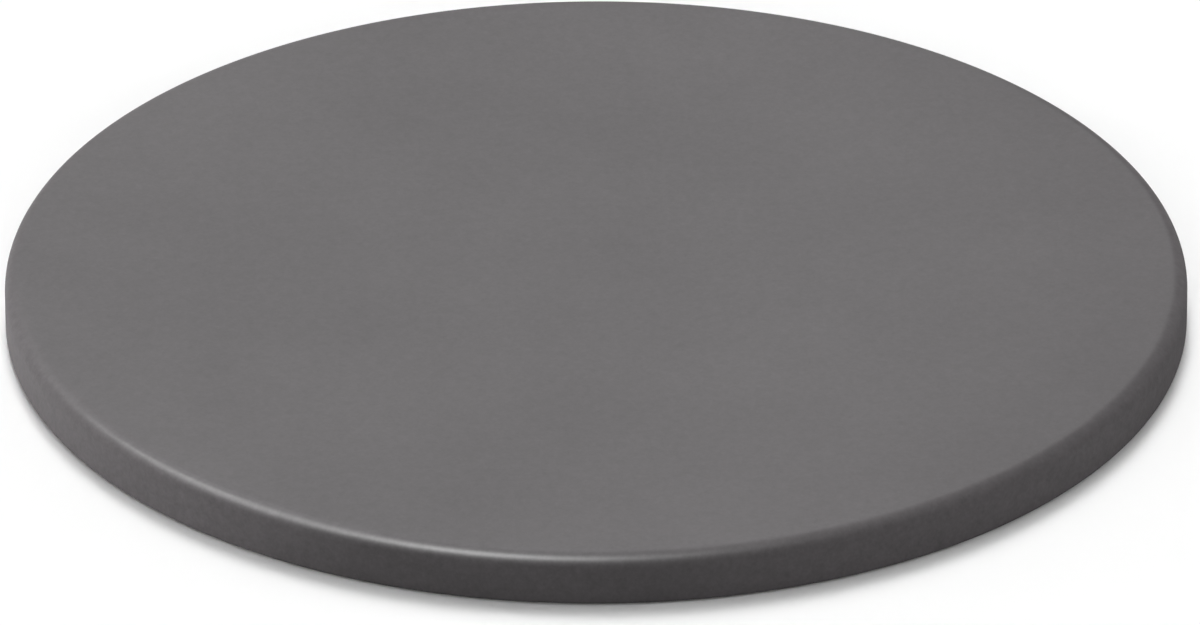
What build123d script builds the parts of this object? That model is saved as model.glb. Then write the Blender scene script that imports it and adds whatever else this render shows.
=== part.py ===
from build123d import *
import os
from math import asin, cos, degrees, radians, sin, sqrt

# Round glazed baking stone. Millimetres, +Z up.
# The origin is the centre of the bare underside that the stone rests on.

# Sizes over the glaze
stone_diameter = 360.0
stone_thickness = 16.5
top_edge_radius = 4.5

# Bare slab under the glaze
foot_edge_radius = 1.7

# Fired glaze. It runs thin over the slab's arrises, and stops at the glaze line, a little above
# the resting face, so that it can't stick to the kiln shelf.
glaze_thickness = 0.5
glaze_line_height = 0.3
glaze_on_arris_share = 0.4  # thickness left over an arris, as a share of the glaze's thickness
glaze_lip_share = 0.6  # corner rolled off the glaze's edge, as a share of its thickness

# Slab sizes, worked out from the sizes over the glaze
stone_radius = stone_diameter / 2
slab_radius = stone_radius - glaze_thickness
slab_thickness = stone_thickness - glaze_thickness

# Centres of the glaze's rounded top edge and of the rounded foot, each as distance from the
# axis and height
top_edge_centre = (stone_radius - top_edge_radius, stone_thickness - top_edge_radius)
foot_centre = (slab_radius - foot_edge_radius, foot_edge_radius)

# The slab's top edge is pressed with a bevel, and the glaze flows round over it. The bevel is
# so large that both its arrises lie just the thin glaze's thickness under the rounding.
arris_reach = top_edge_radius - glaze_on_arris_share * glaze_thickness
arris_rise = top_edge_radius - glaze_thickness
slab_bevel = arris_rise - sqrt(arris_reach**2 - arris_rise**2)

# How far round the foot the glaze reaches before its edge is at the glaze line
glazed_foot_radius = foot_edge_radius + glaze_thickness
glaze_end_angle = degrees(asin((foot_edge_radius - glaze_line_height) / glazed_foot_radius))


def foot_point(radius, angle):
    """Point on a rounding of the foot, angle degrees below the level of its centre."""
    across = foot_centre[0] + radius * cos(radians(angle))
    height = foot_centre[1] - radius * sin(radians(angle))
    return (across, height)


def slab_outside(foot_angle):
    """Half section of the slab's outside: from the axis over the top, down the bevel and the
    wall, and foot_angle degrees round the foot."""
    top_to_foot = Polyline(
        (0, slab_thickness),
        (slab_radius - slab_bevel, slab_thickness),
        (slab_radius, slab_thickness - slab_bevel),
        foot_point(foot_edge_radius, 0),
    )
    foot = CenterArc(foot_centre, foot_edge_radius, 0, -foot_angle)
    return [*top_to_foot.edges(), foot]


def glaze_outside():
    """Half section of the glaze's outside, from the axis over the rounded edge to the lip."""
    over_top = Line((0, stone_thickness), (top_edge_centre[0], stone_thickness))
    top_edge = CenterArc(top_edge_centre, top_edge_radius, 0, 90)
    wall = Line((stone_radius, top_edge_centre[1]), foot_point(glazed_foot_radius, 0))
    foot = CenterArc(foot_centre, glazed_foot_radius, 0, -glaze_end_angle)
    return [over_top, top_edge, wall, foot]


def turned(section):
    """Full turn of a half section that is drawn as distance from the axis and height."""
    return revolve(Plane.XZ * section, Axis.Z, 360)


def stone_slab():
    """Pressed slab with a flat top and underside, a bevelled top edge and a rounded foot."""
    base = Polyline(foot_point(foot_edge_radius, 90), (0, 0), (0, slab_thickness))
    return turned(make_face([*slab_outside(90), *base.edges()]))


def glaze_coat():
    """Skin seated on the slab all over, with a softened lip where it ends on the foot."""
    lip_outside = foot_point(glazed_foot_radius, glaze_end_angle)
    lip_inside = foot_point(foot_edge_radius, glaze_end_angle)
    lip = Line(lip_outside, lip_inside)
    axis_side = Line((0, slab_thickness), (0, stone_thickness))
    section = make_face([*glaze_outside(), *slab_outside(glaze_end_angle), lip, axis_side])
    lip_corner = section.vertices().sort_by(Axis.Y)[0]
    return turned(chamfer(lip_corner, glaze_lip_share * glaze_thickness))


nodes = {
    "stone_slab": stone_slab(),
    "glaze_coat": glaze_coat(),
}

os.makedirs("parts", exist_ok=True)
for name, solid in nodes.items():
    export_step(solid, f"parts/{name}.step")
    size = solid.bounding_box().size
    print(name, "volume", round(solid.volume), "mm3, size", round(size.X, 3), round(size.Z, 3))
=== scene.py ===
import bpy
import bmesh
from math import asin, cos, pi, radians, sin, sqrt, tau
from mathutils import Matrix, Vector, noise


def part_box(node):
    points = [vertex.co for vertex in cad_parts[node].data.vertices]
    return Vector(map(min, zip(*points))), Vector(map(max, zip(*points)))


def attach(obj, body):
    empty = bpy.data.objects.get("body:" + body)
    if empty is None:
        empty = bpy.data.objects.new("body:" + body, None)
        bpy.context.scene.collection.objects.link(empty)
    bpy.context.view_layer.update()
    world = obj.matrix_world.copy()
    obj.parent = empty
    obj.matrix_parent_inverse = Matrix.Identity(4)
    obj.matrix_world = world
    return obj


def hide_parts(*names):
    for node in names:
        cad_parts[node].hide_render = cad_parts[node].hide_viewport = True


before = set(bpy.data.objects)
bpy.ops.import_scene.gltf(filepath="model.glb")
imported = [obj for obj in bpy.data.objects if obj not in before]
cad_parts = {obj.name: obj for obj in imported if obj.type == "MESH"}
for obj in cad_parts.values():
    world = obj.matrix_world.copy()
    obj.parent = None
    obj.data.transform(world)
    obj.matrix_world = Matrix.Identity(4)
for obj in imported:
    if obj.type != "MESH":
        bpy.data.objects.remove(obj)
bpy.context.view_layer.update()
print("frame loaded")

mm = 0.001  # lengths below are written as a number of millimetres times this
hair = 0.001 * mm  # vertices closer than this are merged, and rims stay this far inside the CAD's


# The camera comes first. Its angle, lens and framing were fitted to the stone's outline.
photoView = {
    "elevation": 28.432,  # degrees above the table
    "roll": -0.119,  # degrees
    "distance": 5.0,  # metres from the middle of the underside
    "nearest": 0.1,  # metres; the camera sees nothing closer
    "farthest": 40.0,  # metres; the camera sees nothing farther off
    "lens": 492.05,  # millimetres
    "sensor": 36.0,  # millimetres wide
    "right": 1.156 * mm,  # how far the view is moved off the stone's middle
    "up": 0.902 * mm,
}


def setCamera(values):
    lens = bpy.data.cameras.new("photoCamera")
    lens.sensor_width = values["sensor"]
    lens.lens = values["lens"]
    lens.clip_start = values["nearest"]
    lens.clip_end = values["farthest"]
    camera = bpy.data.objects.new("photoCamera", lens)
    tilt = Matrix.Rotation(radians(90 - values["elevation"]), 4, "X")
    roll = Matrix.Rotation(radians(values["roll"]), 4, "Z")
    moved = Matrix.Translation((values["right"], values["up"], values["distance"]))
    camera.matrix_world = tilt @ moved @ roll
    bpy.context.scene.collection.objects.link(camera)
    bpy.context.scene.camera = camera


setCamera(photoView)
bpy.context.scene.view_settings.view_transform = "Standard"
print("camera set")


# Shader sums are written with Python's operators on this wrapper of a node's socket.
class Signal:
    def __init__(self, tree, socket=None):
        self.tree = tree
        self.socket = socket

    # Any node: its kind, its settings, what goes into its sockets, and the socket to read
    def node(self, kind, settings, inputs, output=0):
        made = self.tree.nodes.new("ShaderNode" + kind)
        for name, value in settings.items():
            setattr(made, name, value)
        for name, value in inputs.items():
            if isinstance(value, Signal):
                self.tree.links.new(value.socket, made.inputs[name])
            else:
                made.inputs[name].default_value = value
        return Signal(self.tree, made.outputs[output])

    def maths(self, operation, first, second):
        return self.node("Math", {"operation": operation}, {0: first, 1: second})

    def __add__(self, other):
        return self.maths("ADD", self, other)

    def __radd__(self, other):
        return self.maths("ADD", other, self)

    def __sub__(self, other):
        return self.maths("SUBTRACT", self, other)

    def __rsub__(self, other):
        return self.maths("SUBTRACT", other, self)

    def __mul__(self, other):
        return self.maths("MULTIPLY", self, other)

    def __rmul__(self, other):
        return self.maths("MULTIPLY", other, self)

    # Noise from 0 to 1 that is fixed to the piece
    def noise(self, place, size, detail=2.0, roughness=0.5, seed=0.0):
        settings = {"noise_dimensions": "4D", "normalize": True}
        inputs = {"Vector": place, "Scale": 1 / size, "Detail": detail, "Roughness": roughness, "W": seed}
        return self.node("TexNoise", settings, inputs)

    # Scattered cells: each one's own random colour, or the distance to its middle in cell sizes
    def cells(self, place, size, output):
        return self.node("TexVoronoi", {"feature": "F1"}, {"Vector": place, "Scale": 1 / size}, output)

    # 0 below the first limit, 1 above the second, and a smooth rise between them
    def rise(self, value, low, high):
        settings = {"interpolation_type": "SMOOTHSTEP"}
        inputs = {"Value": value, "From Min": low, "From Max": high}
        return self.node("MapRange", settings, inputs)

    # A place with each of its three parts multiplied
    def scaled(self, place, factors):
        return self.node("VectorMath", {"operation": "MULTIPLY"}, {0: place, 1: factors})

    def length(self, place):
        return self.node("VectorMath", {"operation": "LENGTH"}, {0: place}, "Value")

    def grey(self, tone):
        return self.node("CombineColor", {}, {"Red": tone, "Green": tone, "Blue": tone})

    def mixColour(self, share, first, second, blend="MIX"):
        settings = {"data_type": "RGBA", "blend_type": blend}
        return self.node("Mix", settings, {"Factor": share, "A": first, "B": second}, "Result")


# A new material, its empty tree wrapped for the sums, and its output node
def newFinish(name):
    finish = bpy.data.materials.new(name)
    finish.use_nodes = True
    finish.node_tree.nodes.clear()
    output = finish.node_tree.nodes.new("ShaderNodeOutputMaterial")
    return finish, Signal(finish.node_tree), output


# The fired glaze: a dark, dry body colour under a thin satin sheen. It is sprayed on, so it lies
# in broad soft clouds and a fine grain. The wall has more of the grain, and level smears from the
# sponge that wiped its foot. Painted shade: the sheen is cut towards the right, and most on the
# wall there, so that side renders darker and its wall reflects less.
satinGlaze = {
    "colour": (0.0755, 0.0699, 0.0725, 1.0),
    "cloudSize": 150 * mm,
    "cloudShare": 0.22,  # how far the clouds move the colour, either way
    "smearSize": 30 * mm,  # along
    "smearSquash": 5.0,  # how many times longer than high a smear is
    "smearShare": 0.03,
    "grainSize": 2.6 * mm,  # the coarsest grain; the finest is a quarter of it
    "grainShare": 0.17,
    "wallStart": 0.975,  # share of the radius from which the smears and the grain grow stronger
    "wallExtra": 1.0,  # how much stronger they are on the wall
    "roughness": 0.62,
    "roughnessWander": 0.06,
    "sheen": 0.40,  # weight of the satin coat; the colour under it has no shine of its own
    "sheenWander": 0.05,
    "sheenRoughness": 0.47,
    "sheenIor": 1.5,
    # painted shade: the next four values cut the sheen towards the right and on the right-hand wall, to
    # darken that side
    "paintedShadeRight": 0.24,  # share of the sheen that is lost at the right-hand edge
    "paintedShadeWall": 0.54,  # share of what is left that the wall loses there
    "paintedShadeWallStart": 0.84,  # how far to the right that starts, as a share of the radius
    "paintedShadeWallTop": 0.988,  # how far out that starts, as a share of the radius
    "peelSize": 2.6 * mm,  # the orange peel of a sprayed and fired coat
    "peelHeight": 0.0035 * mm,
    "toothSize": 0.45 * mm,
    "toothHeight": 0.0012 * mm,
}


def makeSatinGlaze(values, radius):
    finish, start, output = newFinish("satinGlaze")
    place = start.node("TexCoord", {}, {}, "Object")
    squash = (1.0, 1.0, values["smearSquash"])
    squat = start.node("Mapping", {}, {"Vector": place, "Scale": squash})
    clouds = start.noise(place, values["cloudSize"], detail=1.0, seed=1.7)
    smears = start.noise(squat, values["smearSize"], detail=1.0, seed=4.1)
    grain = start.noise(place, values["grainSize"], detail=2.0, roughness=1.0, seed=2.3)
    spot = start.scaled(place, (1 / radius, 1 / radius, 0.0))
    outward = start.length(spot)
    rightward = start.node("SeparateXYZ", {}, {"Vector": spot}, "X")
    wall = start.rise(outward, values["wallStart"], 1.0)
    marks = (smears - 0.5) * (2 * values["smearShare"]) + (grain - 0.5) * (2 * values["grainShare"])
    marks = marks * (wall * values["wallExtra"] + 1.0)
    tone = (clouds - 0.5) * (2 * values["cloudShare"]) + marks + 1.0
    colour = start.mixColour(1.0, values["colour"], start.grey(tone), "MULTIPLY")
    roughness = (grain + clouds - 1.0) * values["roughnessWander"] + values["roughness"]
    # painted shade: the sheen is cut towards the right, and more on the right-hand wall, so that side
    # renders darker
    paintedShade = outward * (rightward * 0.5 + 0.5)  # 0 in the middle and far left, 1 far right
    paintedShadeWall = start.rise(rightward, values["paintedShadeWallStart"], 1.0)
    paintedShadeWall = paintedShadeWall * start.rise(outward, values["paintedShadeWallTop"], 1.0)
    sheen = (grain + smears - 1.0) * values["sheenWander"] + values["sheen"]
    sheen = sheen * (1.0 - paintedShade * paintedShade * values["paintedShadeRight"])
    sheen = sheen * (1.0 - paintedShadeWall * values["paintedShadeWall"])
    peel = start.noise(place, values["peelSize"], detail=1.0, roughness=0.4, seed=5.9)
    tooth = start.noise(place, values["toothSize"], detail=2.0, seed=7.2)
    relief = peel * values["peelHeight"] + tooth * values["toothHeight"]
    bump = start.node("Bump", {}, {"Height": relief, "Distance": 1.0, "Strength": 1.0})
    inputs = {
        "Base Color": colour,
        "Roughness": roughness,
        "Specular IOR Level": 0.0,
        "Coat Weight": sheen,
        "Coat Roughness": values["sheenRoughness"],
        "Coat IOR": values["sheenIor"],
        "Normal": bump,
    }
    surface = start.node("BsdfPrincipled", {}, inputs)
    start.tree.links.new(surface.socket, output.inputs["Surface"])
    return finish


# The bare body: buff cordierite, pressed from a grogged clay, so it is speckled and pitted. It is
# toasted next to the glaze, and stained dark on the foot's rounding.
bareBody = {
    "colour": (0.52, 0.43, 0.32, 1.0),
    "blotchSize": 38 * mm,
    "blotchShare": 0.15,  # how far the blotches move the colour, either way
    "grainSize": 0.35 * mm,
    "grainShare": 0.11,
    "grainHeight": 0.03 * mm,
    "grogSize": 1.3 * mm,
    "paleGrog": (0.68, 0.61, 0.50, 1.0),
    "paleGrogShare": 0.55,  # how strongly it shows; the shares of the other colours say the same
    "paleGrogPick": (0.80, 0.95),  # each grain of grog has a number from 0 to 1, and is pale past these
    "darkGrog": (0.20, 0.145, 0.10, 1.0),
    "darkGrogShare": 0.45,
    "darkGrogPick": (0.06, 0.18),  # and dark before these
    "speckSize": 2.4 * mm,  # from speck to speck
    "speckEdge": (0.05, 0.17),  # where a speck starts and ends to fade, as shares of that
    "speckShare": 0.55,
    "pitSize": 4.5 * mm,  # from pit to pit
    "pitEdge": (0.04, 0.13),  # where a pit's wall starts and ends, as shares of that
    "pitDepth": 0.16 * mm,
    "roughness": 0.88,
    "roughnessWander": 0.05,
    "ior": 1.45,
    "toasted": (0.36, 0.25, 0.155, 1.0),  # where the glaze's edge has drawn colour out of the body
    "toastedShare": 0.8,
    "toastedBand": 5 * mm,  # from the edge inwards
    "toastedWander": 3 * mm,  # how far that band wanders in and out
    "stained": (0.085, 0.076, 0.072, 1.0),  # the foot's rounding, where wet glaze was wiped off it
    "stainedShare": 0.92,
    "stainedHeight": (0.02 * mm, 0.16 * mm),  # where the stain starts, and where it is full
}


def makeBareBody(values, slabRadius):
    finish, start, output = newFinish("bareBody")
    place = start.node("TexCoord", {}, {}, "Object")
    blotches = start.noise(place, values["blotchSize"], detail=4.0, roughness=0.6, seed=3.3)
    grain = start.noise(place, values["grainSize"], detail=2.0, roughness=0.6, seed=8.8)
    grog = start.cells(place, values["grogSize"], "Color")
    pick = start.node("SeparateColor", {}, {"Color": grog}, "Red")
    pale = start.rise(pick, *values["paleGrogPick"])
    dark = 1.0 - start.rise(pick, *values["darkGrogPick"])
    speck = 1.0 - start.rise(start.cells(place, values["speckSize"], "Distance"), *values["speckEdge"])
    colour = start.mixColour(pale * values["paleGrogShare"], values["colour"], values["paleGrog"])
    colour = start.mixColour(dark * values["darkGrogShare"], colour, values["darkGrog"])
    colour = start.mixColour(speck * values["speckShare"], colour, values["darkGrog"])
    outward = start.length(start.scaled(place, (1.0, 1.0, 0.0)))
    outward = outward + (blotches - 0.5) * (2 * values["toastedWander"])
    toast = start.rise(outward, slabRadius - values["toastedBand"], slabRadius)
    colour = start.mixColour(toast * values["toastedShare"], colour, values["toasted"])
    height = start.node("SeparateXYZ", {}, {"Vector": place}, "Z")
    stain = start.rise(height, *values["stainedHeight"])
    colour = start.mixColour(stain * values["stainedShare"], colour, values["stained"])
    tone = (blotches - 0.5) * (2 * values["blotchShare"]) + (grain - 0.5) * (2 * values["grainShare"]) + 1.0
    colour = start.mixColour(1.0, colour, start.grey(tone), "MULTIPLY")
    pit = 1.0 - start.rise(start.cells(place, values["pitSize"], "Distance"), *values["pitEdge"])
    relief = grain * values["grainHeight"] - pit * values["pitDepth"]
    bump = start.node("Bump", {}, {"Height": relief, "Distance": 1.0, "Strength": 1.0})
    roughness = values["roughness"] + (grain - 0.5) * (2 * values["roughnessWander"])
    inputs = {"Base Color": colour, "Roughness": roughness, "IOR": values["ior"], "Normal": bump}
    surface = start.node("BsdfPrincipled", {}, inputs)
    start.tree.links.new(surface.socket, output.inputs["Surface"])
    return finish


# Both pieces are turned from a half section, which is drawn vertex by vertex in the XZ plane.
class Section:
    def __init__(self, across, height):
        self.mesh = bmesh.new()
        self.end = bmesh.ops.create_vert(self.mesh, co=(across, 0, height))["vert"][0]

    # A straight stretch, in spans whose ends are given as shares of its length
    def lineTo(self, across, height, spans=(1.0,)):
        first = self.end.co.copy()
        way = Vector((across, 0, height)) - first
        for share in spans:
            self.end = bmesh.ops.extrude_vert_indiv(self.mesh, verts=[self.end])["verts"][0]
            bmesh.ops.translate(self.mesh, verts=[self.end], vec=first + way * share - self.end.co)

    # A round stretch about a centre; a positive turn goes from the top outwards and down
    def arc(self, across, height, turn, steps):
        swept = bmesh.ops.spin(
            self.mesh, geom=[self.end], cent=(across, 0, height), axis=(0, 1, 0), angle=turn, steps=steps
        )
        self.end = swept["geom_last"][0]

    def turned(self, steps):
        geometry = self.mesh.verts[:] + self.mesh.edges[:]
        bmesh.ops.spin(
            self.mesh, geom=geometry, cent=(0, 0, 0), axis=(0, 0, 1), angle=tau, steps=steps, use_merge=True
        )
        bmesh.ops.remove_doubles(self.mesh, verts=self.mesh.verts[:], dist=hair)
        bmesh.ops.recalc_face_normals(self.mesh, faces=self.mesh.faces[:])
        return self.mesh


# An object at the origin, with its shape and its material
def addObject(name, mesh, finish):
    data = bpy.data.meshes.new(name)
    mesh.to_mesh(data)
    mesh.free()
    data.materials.append(finish)
    made = bpy.data.objects.new(name, data)
    bpy.context.scene.collection.objects.link(made)
    return made


def addPiece(name, mesh, finish):
    piece = addObject(name, mesh, finish)
    piece.data.shade_smooth()
    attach(piece, "root")
    return piece


# A faceted rim is a hair narrower across than along, so the narrowest reach is its radius.
def reachOf(box):
    low, high = box
    return min(-low.x, high.x, -low.y, high.y) - hair


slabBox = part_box("stone_slab")
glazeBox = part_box("glaze_coat")

slabShape = {
    "radius": reachOf(slabBox),
    "height": slabBox[1].z,
    "footRound": 1.7 * mm,
    "topSpans": (0.5, 0.98, 1.0),
    "wallSpans": (0.03, 0.5, 0.97, 1.0),
    "footSteps": 8,
    "undersideSpans": (0.004, 0.03, 0.2, 0.5, 0.8, 1.0),
    "steps": 384,  # round the axis
}
glazeShape = {
    "radius": reachOf(glazeBox),
    "height": glazeBox[1].z,
    "edgeRound": 4.5 * mm,
    "onArrisShare": 0.4,  # thickness left over the slab's arrises
    "lipLow": glazeBox[0].z,  # lowest that the glaze's lip comes
    "lineWander": 0.05 * mm,  # how far the glaze line wanders up and down
    "lineWaves": ((9, 1.0), (31, 0.5)),  # its waves: roughly how many to a radian, and how strong
    "topSpans": (0.25, 0.5, 0.75, 0.93, 0.985, 0.997, 1.0),
    "edgeSteps": 20,
    "wallSpans": (0.04, 0.2, 0.5, 0.8, 0.96, 1.0),
    "footSteps": 6,
    "lipSteps": 8,
    "insideSpans": (0.5, 1.0),
    "steps": 512,  # round the axis
}
glazeShape["thickness"] = glazeShape["height"] - slabShape["height"]
slabShape["radius"] = min(slabShape["radius"], glazeShape["radius"] - glazeShape["thickness"])

# The slab's bevelled edge lies just under the glaze's rounding.
arrisRise = glazeShape["edgeRound"] - glazeShape["thickness"]
arrisReach = glazeShape["edgeRound"] - glazeShape["onArrisShare"] * glazeShape["thickness"]
slabShape["bevel"] = arrisRise - sqrt(arrisReach**2 - arrisRise**2)

# Middle of the foot's roundings, as distance from the axis and height
footMiddle = (slabShape["radius"] - slabShape["footRound"], slabShape["footRound"])


def makeSlab(values):
    radius = values["radius"]
    top = values["height"]
    section = Section(0, top)
    section.lineTo(radius - values["bevel"], top, values["topSpans"])
    section.lineTo(radius, top - values["bevel"])
    section.lineTo(radius, footMiddle[1], values["wallSpans"])
    section.arc(*footMiddle, pi / 2, values["footSteps"])
    section.lineTo(0, 0, values["undersideSpans"])
    return section.turned(values["steps"])


# The glaze's lip is half a turn round the middle of the coat's thickness.
def makeGlaze(values):
    radius = values["radius"]
    top = values["height"]
    edge = values["edgeRound"]
    slabTop = slabShape["height"]
    slabRadius = slabShape["radius"]
    bevel = slabShape["bevel"]
    lipRound = values["thickness"] / 2
    middleRound = slabShape["footRound"] + lipRound
    lipDrop = footMiddle[1] - (values["lipLow"] + values["lineWander"]) - lipRound
    lipAngle = asin(lipDrop / middleRound)
    lipMiddle = (footMiddle[0] + middleRound * cos(lipAngle), footMiddle[1] - lipDrop)
    section = Section(0, top)
    section.lineTo(radius - edge, top, values["topSpans"])
    section.arc(radius - edge, top - edge, pi / 2, values["edgeSteps"])
    section.lineTo(radius, footMiddle[1], values["wallSpans"])
    section.arc(*footMiddle, lipAngle, values["footSteps"])
    section.arc(*lipMiddle, pi, values["lipSteps"])
    section.arc(*footMiddle, -lipAngle, values["footSteps"])
    section.lineTo(slabRadius, slabTop - bevel, values["insideSpans"])
    section.lineTo(slabRadius - bevel, slabTop)
    section.lineTo(0, slabTop, values["insideSpans"])
    mesh = section.turned(values["steps"])
    wanderLip(mesh, values)
    return mesh


# The glaze line isn't quite level: each of the foot's vertices is slid round the foot a little,
# by a noise that closes on itself.
def wanderLip(mesh, values):
    stillFrom = footMiddle[1] - 0.01 * mm  # the vertices where the wall ends keep their places
    for vertex in mesh.verts:
        if vertex.co.z < stillFrom:
            around = Vector((vertex.co.x, vertex.co.y, 0)).normalized()
            sway = sum(strength * noise.noise(around * often) for often, strength in values["lineWaves"])
            sway = max(-1.0, min(1.0, sway))
            turn = sway * values["lineWander"] / (slabShape["footRound"] + values["thickness"])
            middle = around * footMiddle[0] + Vector((0, 0, footMiddle[1]))
            swing = Matrix.Rotation(turn, 3, Vector((0, 0, 1)).cross(around))
            vertex.co = middle + swing @ (vertex.co - middle)


glazeFinish = makeSatinGlaze(satinGlaze, glazeShape["radius"])
glazePiece = addPiece("firedGlaze", makeGlaze(glazeShape), glazeFinish)
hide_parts("glaze_coat")
print("glaze made,", len(glazePiece.data.polygons), "faces")

slabFinish = makeBareBody(bareBody, slabShape["radius"])
slabPiece = addPiece("bareSlab", makeSlab(slabShape), slabFinish)
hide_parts("stone_slab")
print("slab made,", len(slabPiece.data.polygons), "faces")


# Which rays see the white background: the camera's, and those that shine off or through a piece
def backgroundRays(start):
    rays = start.node("LightPath", {}, {}, "Is Camera Ray")
    for name in ("Is Glossy Ray", "Is Transmission Ray"):
        rays = start.maths("MAXIMUM", rays, start.node("LightPath", {}, {}, name))
    return rays


# The table is plain white to the camera and in reflections, with the stone's shadow on it. It
# throws back only as much light on to the stone as a mid grey does, which fits the stone's wall.
whiteTable = {
    "reach": 30.0,  # metres from the middle to each side
    "gap": 0.01 * mm,  # under the resting face
    "paint": (0.88, 0.88, 0.88, 1.0),
    "bounce": (0.30, 0.30, 0.30, 1.0),
}


def makeTable(values):
    finish, start, output = newFinish("whiteTable")
    paint = start.node("BsdfDiffuse", {}, {"Color": values["paint"]})
    bounce = start.node("BsdfDiffuse", {}, {"Color": values["bounce"]})
    surface = start.node("MixShader", {}, {0: backgroundRays(start), 1: bounce, 2: paint})
    start.tree.links.new(surface.socket, output.inputs["Surface"])
    mesh = bmesh.new()
    bmesh.ops.create_grid(mesh, x_segments=1, y_segments=1, size=values["reach"])
    bmesh.ops.translate(mesh, verts=mesh.verts[:], vec=(0, 0, -values["gap"]))
    table = addObject("whiteTable", mesh, finish)


makeTable(whiteTable)

# Soft lamps, far off, so that the light is the same all over the table. Each is given by where
# it stands, in degrees round from the right and up from the table, by how wide it looks, by its
# strength, and by whether it lights the body of a surface or its shine.
studioLight = {
    "sky": (0.40, 0.40, 0.40, 1.0),
    "horizon": (1, 3),  # degrees up where the white past the table starts to fade, and is gone
    "body": {
        "backHigh": {"around": 93, "up": 72, "width": 20, "strength": 0.82},
        "backMiddle": {"around": 93, "up": 60, "width": 16, "strength": 1.17},
        "backLow": {"around": 93, "up": 48, "width": 16, "strength": 0.44},
        "frontFill": {"around": 270, "up": 18, "width": 12, "strength": 0.46},
        "rightFill": {"around": 6, "up": 12, "width": 10, "strength": 0.25},
        "rightWall": {"around": 6, "up": 1.2, "width": 2, "strength": 1.10},
        "leftWall": {"around": 158, "up": 1.2, "width": 2, "strength": 4.20},
        "frontLeftWall": {"around": 184, "up": 1.2, "width": 2, "strength": 1.05},
    },
    "shine": {
        "frontEdge": {"around": 240, "up": 57, "width": 20, "strength": 13.2},
        "leftEdge": {"around": 158, "up": 51, "width": 10, "strength": 3.8},
        "leftFrontEdge": {"around": 190, "up": 46, "width": 20, "strength": 2.86},
        "topHigh": {"around": 106, "up": 52, "width": 24, "strength": 0.92},
        "topLow": {"around": 90, "up": 36, "width": 24, "strength": 0.60},
    },
}


# The sky lights the scene. The camera and reflections see white up to a little over the horizon.
def setSky(values):
    bpy.context.scene.world = bpy.data.worlds.new("studio")
    bpy.context.scene.world.use_nodes = True
    tree = bpy.context.scene.world.node_tree
    tree.nodes.clear()
    start = Signal(tree)
    way = start.node("TexCoord", {}, {}, "Generated")
    up = start.node("SeparateXYZ", {}, {"Vector": way}, "Z")
    low = 1.0 - start.rise(up, *(sin(radians(limit)) for limit in values["horizon"]))
    colour = start.mixColour(low * backgroundRays(start), values["sky"], (1.0, 1.0, 1.0, 1.0))
    sky = start.node("Background", {}, {"Color": colour, "Strength": 1.0})
    output = tree.nodes.new("ShaderNodeOutputWorld")
    tree.links.new(sky.socket, output.inputs["Surface"])


def setLamps(values):
    for kind in ("body", "shine"):
        for name, lamp in values[kind].items():
            light = bpy.data.lights.new(name, "SUN")
            light.energy = lamp["strength"]
            light.angle = radians(lamp["width"])
            stand = bpy.data.objects.new(name, light)
            stand.visible_diffuse = kind == "body"
            stand.visible_glossy = kind == "shine"
            around = Matrix.Rotation(radians(lamp["around"]), 4, "Z")
            stand.matrix_world = around @ Matrix.Rotation(radians(90 - lamp["up"]), 4, "Y")
            bpy.context.scene.collection.objects.link(stand)


setSky(studioLight)
setLamps(studioLight)
print("table and light set")
